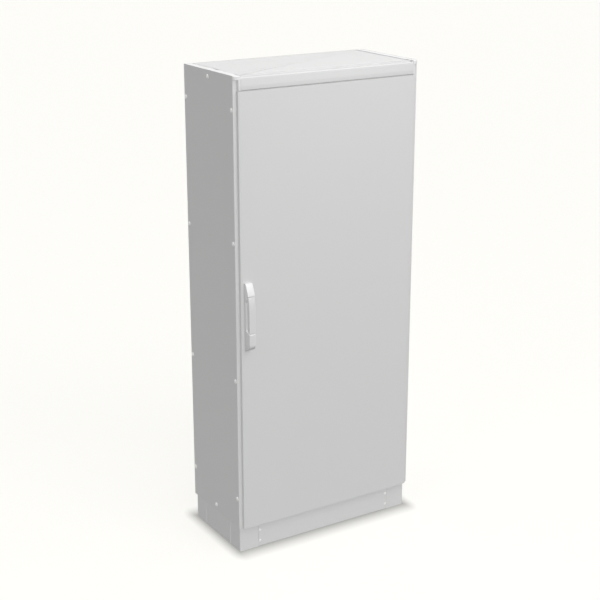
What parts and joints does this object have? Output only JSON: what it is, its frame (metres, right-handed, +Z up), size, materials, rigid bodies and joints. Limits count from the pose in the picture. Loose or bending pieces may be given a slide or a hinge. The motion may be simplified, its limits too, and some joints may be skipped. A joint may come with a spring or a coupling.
{
  "type": "traffic signal controller cabinet",
  "caption": "Floor-standing sheet-steel roadside control cabinet on a plinth, one door with a swing handle that drives two lock rods.",
  "frame": {"origin": "middle of the four floor bolt holes, at the level of the floor", "axes": "+Z up, the door faces -Y, +X to the right as seen from the front (the hinge side)"},
  "size_m": [0.822, 0.4367, 1.9],
  "materials": {
    "shell_paint": "textured powder coat",
    "plinth_paint": "textured powder coat",
    "frame_paint": "satin powder coat",
    "handle_plastic": "fine grained moulding",
    "cap_plastic": "fine grained moulding",
    "zinc_steel": "zinc plated",
    "galvanised": "galvanised sheet",
    "bright_steel": "turned",
    "seal_rubber": "foamed",
    "grommet_rubber": "moulded",
    "bar_brass": "milled",
    "lock_chrome": "satin plated"
  },
  "bodies": {
    "cabinet": {"plinth_corner_front_left": "plinth_paint", "plinth_corner_front_right": "plinth_paint", "plinth_corner_rear_left": "plinth_paint", "plinth_corner_rear_right": "plinth_paint", "plinth_panel_front": "plinth_paint", "plinth_panel_rear": "plinth_paint", "plinth_panel_left": "plinth_paint", "plinth_panel_right": "plinth_paint", "plinth_panel_screws": "zinc_steel", "base_frame": "galvanised", "base_bolts": "zinc_steel", "gland_plate": "galvanised", "cable_grommets": "grommet_rubber", "gland_screws": "zinc_steel", "door_frame_left": "frame_paint", "door_frame_right": "frame_paint", "door_frame_bottom": "frame_paint", "door_frame_top": "frame_paint", "corner_post_rear_left": "frame_paint", "corner_post_rear_right": "frame_paint", "top_rear_rail": "frame_paint", "roof_rail_left": "shell_paint", "roof_rail_right": "shell_paint", "roof_plate": "shell_paint", "roof_corner_cap_left": "cap_plastic", "roof_corner_cap_right": "cap_plastic", "fascia": "shell_paint", "side_panel_left": "shell_paint", "side_panel_right": "shell_paint", "side_panel_screws": "shell_paint", "rear_panel": "shell_paint", "rear_panel_screws": "shell_paint", "hinge_brackets": "zinc_steel", "hinge_pins": "bright_steel", "hinge_screws": "zinc_steel", "rod_keepers": "zinc_steel", "mounting_plate": "galvanised", "mounting_brackets": "zinc_steel", "mounting_bolts": "zinc_steel", "component_rails": "zinc_steel", "earth_bar": "bar_brass", "cable_rail": "galvanised"},
    "door": {"door_skin": "shell_paint", "door_gasket": "seal_rubber", "door_stiffener_left": "frame_paint", "door_stiffener_right": "frame_paint", "lock_case": "zinc_steel", "lock_case_cover": "zinc_steel", "rod_guides": "handle_plastic", "hinge_leaves": "zinc_steel", "handle_base": "handle_plastic", "handle_screws": "zinc_steel"},
    "handle": {"handle_head": "handle_plastic", "spindle": "bright_steel", "lock_pinion": "bright_steel", "lever_pin": "bright_steel"},
    "lever": {"handle_lever": "handle_plastic"},
    "upper_rod": {"lock_rod_upper": "zinc_steel"},
    "lower_rod": {"lock_rod_lower": "zinc_steel"},
    "insert": {"lock_insert": "lock_chrome"}
  },
  "joints": [
    {"name": "door_swing", "type": "hinge", "parent": "cabinet", "child": "door", "pos_m": [0.3852, -0.2005, 1], "axis": [0, 0, 1], "range_deg": [0, 120]},
    {"name": "handle_turn", "type": "hinge", "parent": "door", "child": "handle", "pos_m": [-0.368, -0.208, 1.095], "axis": [0, -1, 0], "range_deg": [0, 90]},
    {"name": "lever_lift", "type": "hinge", "parent": "handle", "child": "lever", "pos_m": [-0.368, -0.2403, 1.072], "axis": [-1, 0, 0], "range_deg": [0, 40]},
    {"name": "upper_rod_slide", "type": "slide", "parent": "door", "child": "upper_rod", "axis": [0, 0, -1], "range_m": [0, 0.0118]},
    {"name": "lower_rod_slide", "type": "slide", "parent": "door", "child": "lower_rod", "axis": [0, 0, 1], "range_m": [0, 0.0118]},
    {"name": "key_turn", "type": "hinge", "parent": "door", "child": "insert", "pos_m": [-0.368, -0.22952, 0.87237], "axis": [0, -0.5812, -0.8137], "range_deg": [0, 90]}
  ],
  "couplings": [
    {"joint": "upper_rod_slide", "follows": "handle_turn", "m_per_rad": 0.0075},
    {"joint": "lower_rod_slide", "follows": "handle_turn", "m_per_rad": 0.0075}
  ]
}
